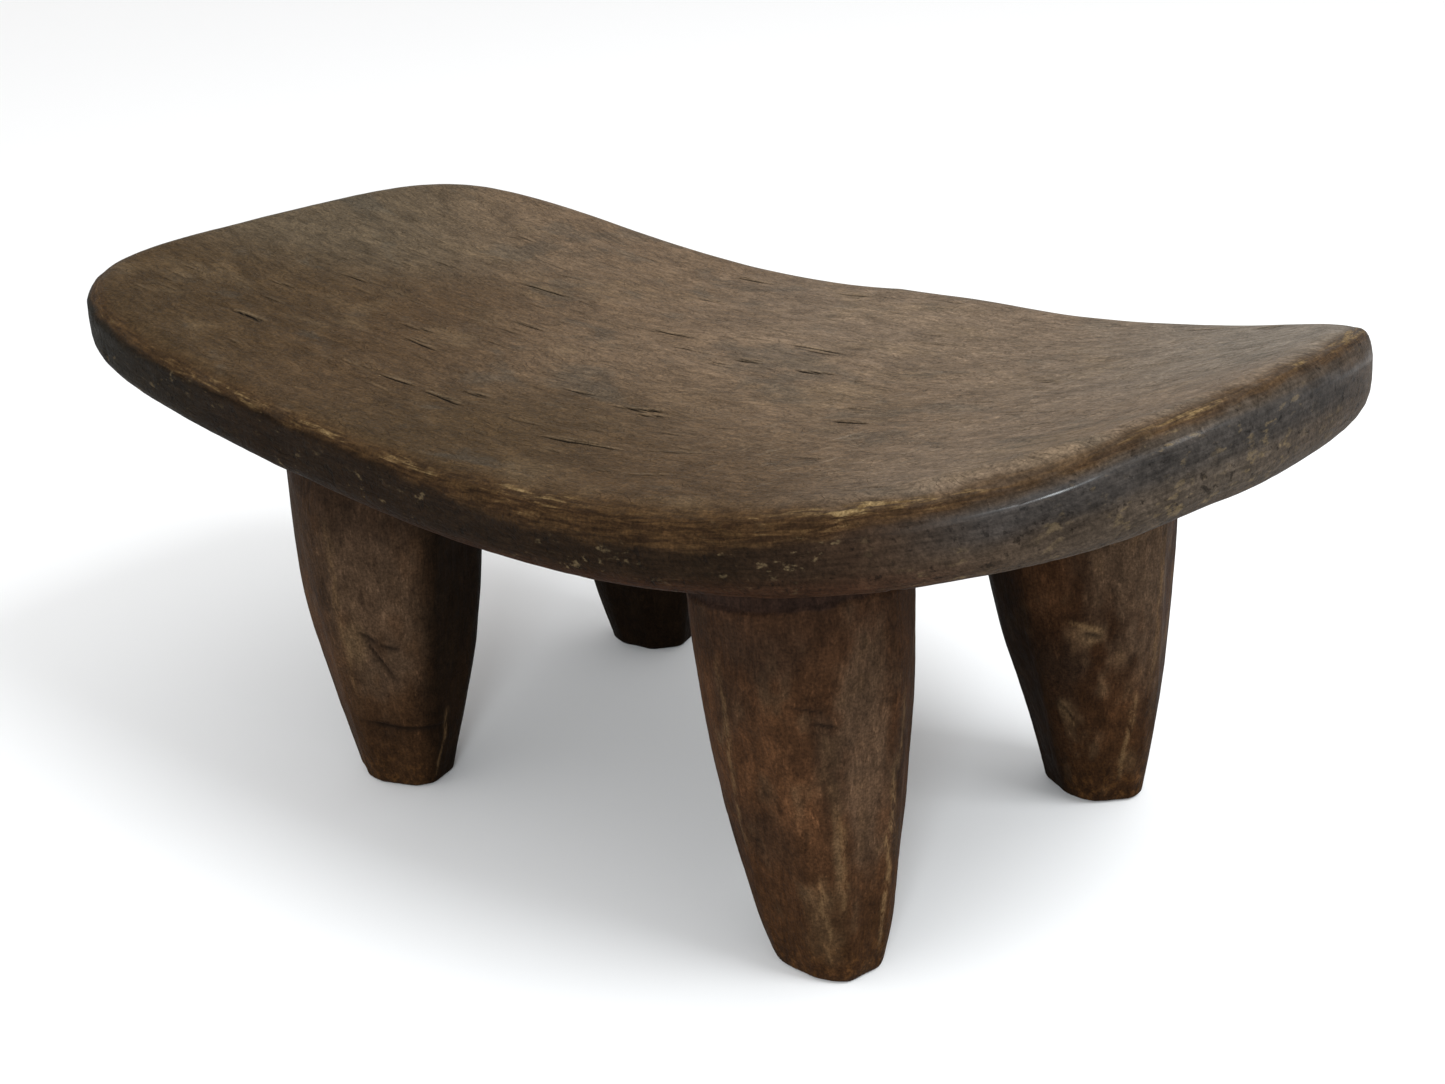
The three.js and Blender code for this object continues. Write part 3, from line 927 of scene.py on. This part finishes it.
class Shader:
    """A node material written as calls. Each call adds a node and gives its output."""

    def __init__(self, name):
        self.material = bpy.data.materials.new(name)
        self.material.use_nodes = True
        self.tree = self.material.node_tree
        self.tree.nodes.clear()
        self.place = self.node("ShaderNodeTexCoord", output="Object")

    def bend(self, cell_mm, amount_mm, seed):
        """Shifts the place that later noises are read at, so that straight grain runs in waves."""
        inputs = {"Vector": self.place, "Scale": 1 / (cell_mm * MM), "W": seed, "Detail": 1.0}
        wave = self.node("ShaderNodeTexNoise", inputs, output="Color", noise_dimensions="4D")
        centred = self.node("ShaderNodeVectorMath", {0: wave, 1: (0.5, 0.5, 0.5)}, operation="SUBTRACT")
        inputs = {"Vector": centred, "Scale": amount_mm * MM}
        shift = self.node("ShaderNodeVectorMath", inputs, operation="SCALE")
        self.place = self.node("ShaderNodeVectorMath", {0: self.place, 1: shift}, operation="ADD")

    def node(self, kind, inputs=None, output=0, **settings):
        made = self.tree.nodes.new(kind)
        for key, value in settings.items():
            setattr(made, key, value)
        for key, value in (inputs or {}).items():
            if isinstance(value, bpy.types.NodeSocket):
                self.tree.links.new(value, made.inputs[key])
            else:
                made.inputs[key].default_value = value
        return made.outputs[output] if made.outputs else None

    def noise(self, cell_mm, detail=3.0, seed=0.0, warp=0.0, turn=0.0, place=None):
        """Noise from 0 to 1, with lumps of this size along each axis, turned in plan by degrees."""
        inputs = {
            "Vector": place or self.place, "Scale": [size * MM for size in cell_mm],
            "Location": [seed, seed, seed], "Rotation": [0, 0, math.radians(turn)],
        }
        place = self.node("ShaderNodeMapping", inputs, vector_type="TEXTURE")
        inputs = {
            "Vector": place, "Scale": 1.0, "Detail": detail, "Roughness": NOISE_ROUGHNESS,
            "Distortion": warp,
        }
        return self.node("ShaderNodeTexNoise", inputs)

    def attribute(self, name, output="Fac"):
        return self.node("ShaderNodeAttribute", output=output, attribute_name=name)

    def step(self, value, low, high):
        """A smooth step from 0 at low to 1 at high. Low may be the greater."""
        inputs = {"Value": value, "From Min": low, "From Max": high}
        return self.node("ShaderNodeMapRange", inputs, interpolation_type="SMOOTHSTEP")

    def math(self, operation, first, second=0.0, clamp=False):
        return self.node("ShaderNodeMath", {0: first, 1: second}, operation=operation, use_clamp=clamp)

    def mix(self, amount, first, second, blend="MIX"):
        return self.node(
            "ShaderNodeMix", {0: amount, 6: first, 7: second}, output=2, data_type="RGBA", blend_type=blend
        )

    def vary(self, colour, value, darkest, lightest):
        """The colour made darker or lighter as a noise goes from low to high."""
        inputs = {"Value": value, "From Min": 0.3, "From Max": 0.7, "To Min": darkest, "To Max": lightest}
        factor = self.node("ShaderNodeMapRange", inputs)
        return self.node("ShaderNodeVectorMath", {"Vector": colour, "Scale": factor}, operation="SCALE")

    def times(self, first, second):
        return self.math("MULTIPLY", first, second)

    def plus(self, first, second):
        return self.math("ADD", first, second)

    def centred(self, value):
        return self.math("SUBTRACT", value, 0.5)

    def thin_lines(self, noise, width):
        """1 along the lines where a noise passes its middle value, and 0 away from them."""
        return self.step(self.math("ABSOLUTE", self.centred(noise)), width, 0.0)

    def stain(self, colour, mask, strength, other):
        """The colour turned towards another where the mask is 1."""
        return self.mix(self.times(mask, strength), colour, other)

    def grained(self, colour, *grains):
        """The colour varied by several noises in turn, each as (noise, how much)."""
        for value, amount in grains:
            colour = self.vary(colour, value, 1 - amount, 1 + amount)
        return colour

    def layers(self, *parts):
        """The sum of several values, each as (value, how much)."""
        total = 0.0
        for value, amount in parts:
            total = self.plus(total, self.times(value, amount))
        return total

    def axis(self, name):
        return self.node("ShaderNodeSeparateXYZ", {"Vector": self.place}, output=name)

    def finish(self, colour, roughness, height, bump_mm, coat=0.0):
        bump = {"Height": height, "Distance": bump_mm * MM, "Strength": 1.0}
        inputs = {
            "Base Color": colour, "Roughness": roughness, "Normal": self.node("ShaderNodeBump", bump),
            "Specular IOR Level": SPECULAR, "Coat Weight": coat, "Coat Roughness": COAT_ROUGHNESS,
        }
        surface = self.node("ShaderNodeBsdfPrincipled", inputs)
        self.node("ShaderNodeOutputMaterial", {"Surface": surface})
        return self.material


def seat_material():
    m = Shader("seat_wood")
    rim, split, wear = m.attribute("rim"), m.attribute("split"), m.attribute("wear")
    brown, polish, lip = m.attribute("brown"), m.attribute("polish"), m.attribute("lip")
    round_rim = m.attribute("unrolled", "Vector")
    x = m.axis("X")
    grit = m.noise((0.9, 0.9, 0.9), 3, 9)
    specks = m.noise((2.4, 2.4, 2.4), 4, 5)
    m.bend(36, 9, 1)
    fibres = m.noise((3.6, 0.9, 0.9), 4, 1, 0.4)
    hairs = m.noise((7, 0.6, 0.6), 2, 12)
    wrinkles = m.noise((10, 3.2, 3.2), 5, 2, 1.3)
    mottle = m.noise((18, 10, 10), 5, 3, 0.5)
    patches = m.noise((60, 34, 34), 3, 4, 0.3)
    smoke = m.noise((38, 22, 22), 3, 7, 0.3)
    scrapes = m.noise((1.4, 12, 12), 3, 10, 0.2, turn=-24)

    contour = m.thin_lines(m.noise((15, 4.2, 4.2), 2, 17, 1.2), 0.024)
    shaded_creases = m.times(contour, m.step(specks, 0.40, 0.56))

    top = m.attribute("top_tone", "Color")
    top = m.stain(top, m.step(patches, 0.52, 0.68), 0.22, paint(116, 98, 74))
    top = m.stain(top, m.step(smoke, 0.54, 0.66), 0.35, paint(66, 63, 56))
    top = m.grained(top, (mottle, 0.22), (wrinkles, 0.28), (fibres, 0.12), (specks, 0.16))
    on_right = m.times(m.step(x, 0.03, 0.10), m.step(rim, -14.0, -30.0))
    top = m.mix(m.times(m.step(scrapes, 0.56, 0.66), m.times(on_right, 0.5)), top, paint(84, 70, 56))
    top = m.mix(m.times(m.step(scrapes, 0.42, 0.34), m.times(on_right, 0.28)), top, paint(136, 122, 104))
    top = m.stain(top, m.step(hairs, 0.62, 0.74), 0.5, paint(40, 31, 23))
    # Painted shade in the creases, which are also sunk in the bump.
    top = m.stain(top, shaded_creases, 0.30, paint(48, 38, 28))
    chips = m.step(m.noise((3.4, 2.0, 2.0), 2, 11), 0.75, 0.80)
    top = m.stain(top, chips, 0.45, paint(150, 132, 102))
    # Painted highlight along the raised lip beside each split.
    top = m.stain(top, lip, 0.4, paint(130, 112, 88))

    strands = m.noise((10, 10, 1.3), 5, 6, 0.5, place=round_rim)
    along_band = m.noise((18, 18, 1.0), 4, 13, 0.2, place=round_rim)
    band = m.attribute("band_tone", "Color")
    band = m.grained(band, (along_band, 0.30), (mottle, 0.2), (specks, 0.28))
    # Pits, sunk in the bump and painted nearly black as painted shade.
    pits = m.step(m.noise((3.2, 3.2, 3.2), 3, 14), 0.60, 0.70)
    band = m.stain(band, pits, 0.6, paint(16, 13, 10))
    where_flecked = m.step(m.noise((36, 36, 36), 2, 16), 0.42, 0.60)
    more_on_right = m.times(m.times(m.step(x, 0.12, 0.17), m.step(rim, 9.0, 16.0)), 0.05)
    fleck_lumps = m.plus(m.noise((5, 5, 2.4), 4, 15, place=round_rim), more_on_right)
    flecked = m.times(m.step(fleck_lumps, 0.58, 0.70), where_flecked)
    band = m.stain(band, flecked, 0.5, paint(112, 96, 70))

    worn_brown = m.mix(m.step(strands, 0.38, 0.62), paint(43, 29, 17), paint(72, 52, 31))
    worn_brown = m.grained(worn_brown, (specks, 0.2), (mottle, 0.25))
    ragged = m.plus(rim, m.times(m.centred(strands), 5))
    colour = m.mix(m.step(ragged, -0.8, 1.6), top, band)
    colour = m.stain(colour, brown, 0.75, worn_brown)
    pale = m.step(m.plus(strands, m.times(wear, 0.22)), 0.62, 0.80)
    ochre = m.mix(m.step(specks, 0.35, 0.65), paint(92, 72, 44), paint(142, 120, 84))
    colour = m.stain(colour, m.times(pale, m.plus(wear, 0.1)), 0.85, ochre)
    beneath = m.step(rim, 24.0, 32.0)
    underside = m.mix(m.step(wrinkles, 0.40, 0.62), paint(34, 24, 17), paint(52, 38, 26))
    underside = m.grained(underside, (mottle, 0.3), (fibres, 0.2))
    colour = m.mix(beneath, colour, underside)
    colour = m.grained(colour, (grit, 0.34))
    # Painted shade in the splits: nearly black.
    colour = m.mix(m.math("MULTIPLY", split, 2.1, clamp=True), colour, paint(18, 14, 10))

    roughness = m.plus(SEAT_ROUGHNESS, m.times(m.centred(specks), ROUGHNESS_RANGE))
    height = m.layers(
        (fibres, 0.5), (specks, 0.45), (wrinkles, 2.1), (m.times(scrapes, on_right), 0.8),
        (m.times(strands, brown), 1.2), (m.times(shaded_creases, m.step(rim, 0.0, -6.0)), -0.5),
        (m.times(pits, m.step(rim, 0.0, 4.0)), -0.6),
    )
    coat = m.times(polish, m.step(strands, 0.32, 0.50))
    return m.finish(colour, roughness, height, SEAT_BUMP_MM, coat)


def leg_material():
    m = Shader("leg_wood")
    # unshaded is 1 away from the legs' painted shade, so that scuffs and worn wood show only there.
    mark, ridge, unshaded = m.attribute("mark"), m.attribute("ridge"), m.attribute("open")
    z = m.axis("Z")
    grit = m.noise((0.8, 0.8, 0.8), 2, 27)
    specks = m.noise((2.2, 2.2, 3.0), 4, 25)
    m.bend(24, 6, 2)
    fibres = m.noise((0.8, 0.8, 7), 4, 21)
    streaks = m.noise((2.6, 2.6, 13), 4, 22, 0.5)
    mottle = m.noise((8, 8, 13), 4, 23, 0.7)
    scuffs = m.noise((1.5, 1.5, 6.0), 4, 26, 0.8)
    scratches = m.noise((0.7, 0.7, 9.0), 2, 28)
    stains = m.noise((4, 4, 8), 4, 29, 0.8)
    contour = m.thin_lines(m.noise((3.6, 3.6, 17), 2, 30, 1.2), 0.022)
    shaded_creases = m.times(contour, m.step(specks, 0.42, 0.58))

    colour = m.vary(m.attribute("tone", "Color"), mottle, 0.70, 1.32)
    colour = m.grained(colour, (streaks, 0.16), (fibres, 0.16), (specks, 0.24))
    colour = m.stain(colour, m.step(stains, 0.56, 0.66), 0.45, m.vary(colour, specks, 0.3, 0.6))
    pale_wood = m.vary(colour, specks, 1.6, 2.3)
    worn = m.times(m.step(scuffs, 0.55, 0.68), m.plus(0.28, m.times(ridge, 0.5)))
    colour = m.mix(m.times(worn, unshaded), colour, pale_wood)
    colour = m.mix(m.times(m.step(scratches, 0.63, 0.72), m.times(unshaded, 0.4)), colour, pale_wood)
    worn_line = m.times(m.attribute("worn_line"), m.step(scuffs, 0.36, 0.56))
    colour = m.stain(colour, worn_line, 0.7, paint(112, 88, 60))
    # Painted shade in the creases.
    colour = m.stain(colour, shaded_creases, 0.35, paint(22, 14, 9))
    worn_foot = m.times(m.step(z, 0.020, 0.002), m.step(specks, 0.46, 0.66))
    colour = m.mix(m.times(worn_foot, m.times(unshaded, 0.30)), colour, paint(92, 62, 32))
    colour = m.grained(colour, (grit, 0.34))
    # Painted shade in the cut marks: nearly black.
    colour = m.stain(colour, mark, 0.8, paint(16, 11, 8))

    roughness = m.plus(LEG_ROUGHNESS, m.times(m.centred(specks), ROUGHNESS_RANGE))
    height = m.layers((fibres, 0.5), (specks, 0.5), (streaks, 0.9))
    return m.finish(colour, roughness, height, LEG_BUMP_MM)


def plain_material(name, colour, roughness):
    material = bpy.data.materials.new(name)
    material.use_nodes = True
    surface = material.node_tree.nodes["Principled BSDF"]
    surface.inputs["Base Color"].default_value = colour
    surface.inputs["Roughness"].default_value = roughness
    return material


# ---- Stage, light and camera ----------------------------------------------------------------


def make_floor():
    size = 14.0
    corners = [(-size, -size, 0), (size, -size, 0), (size, size, 0), (-size, size, 0)]
    mesh = bpy.data.meshes.new("floor")
    mesh.from_pydata(corners, [], [(0, 1, 2, 3)])
    floor = add_to_scene("floor", mesh)
    mesh.materials.append(plain_material("floor_paper", (0.90, 0.90, 0.90, 1.0), 0.9))


def area_light(name, place, size, power, colour):
    data = bpy.data.lights.new(name, "AREA")
    data.shape = "RECTANGLE"
    data.size, data.size_y = size
    data.energy = power
    data.color = colour
    lamp = add_to_scene(name, data)
    lamp.location = place
    aim = Vector((0, 0, 0.09)) - Vector(place)
    lamp.rotation_euler = aim.to_track_quat("-Z", "Y").to_euler()


def light_stage():
    world = bpy.data.worlds.new("studio")
    world.use_nodes = True
    background = world.node_tree.nodes["Background"]
    background.inputs["Color"].default_value = (1.0, 1.0, 1.0, 1.0)
    background.inputs["Strength"].default_value = 0.95
    bpy.context.scene.world = world
    area_light("window", (1.1, 0.20, 1.45), (0.8, 0.8), 22.0, (0.94, 0.975, 1.0))
    area_light("side", (0.88, -1.05, 0.55), (0.24, 0.24), 8.5, (0.90, 0.96, 1.0))


CAMERA_AZIMUTH, CAMERA_ELEVATION, CAMERA_ROLL = 46.09, 21.66, -3.87
CAMERA_DISTANCE = 0.7663
CAMERA_TARGET = (0.0058, 0.0039, 0.0836)
CAMERA_LENS = 59.05


def make_camera():
    azimuth, elevation = math.radians(CAMERA_AZIMUTH), math.radians(CAMERA_ELEVATION)
    back = Vector((
        math.sin(azimuth) * math.cos(elevation),
        -math.cos(azimuth) * math.cos(elevation),
        math.sin(elevation),
    ))
    right = Vector((math.cos(azimuth), math.sin(azimuth), 0))
    upright = Matrix((right, back.cross(right), back)).transposed()
    roll = Matrix.Rotation(math.radians(CAMERA_ROLL), 3, "Z")
    data = bpy.data.cameras.new("camera")
    data.lens = CAMERA_LENS
    camera = add_to_scene("camera", data)
    camera.matrix_world = (
        Matrix.Translation(Vector(CAMERA_TARGET) + back * CAMERA_DISTANCE) @ (upright @ roll).to_4x4()
    )
    bpy.context.scene.camera = camera


# ---- Putting it together --------------------------------------------------------------------

bpy.context.scene.view_settings.view_transform = "Standard"
make_camera()
light_stage()
make_floor()

seat, seat_rim = build_seat()
carve_seat(seat, seat_rim)
seat.data.materials.append(seat_material())
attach(seat, "root")
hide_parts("seat")

leg_wood = leg_material()
for leg_name, leg_facts in LEGS.items():
    carved = build_leg(leg_name, leg_facts)
    carved.data.materials.append(leg_wood)
    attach(carved, "root")
    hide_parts(leg_name)
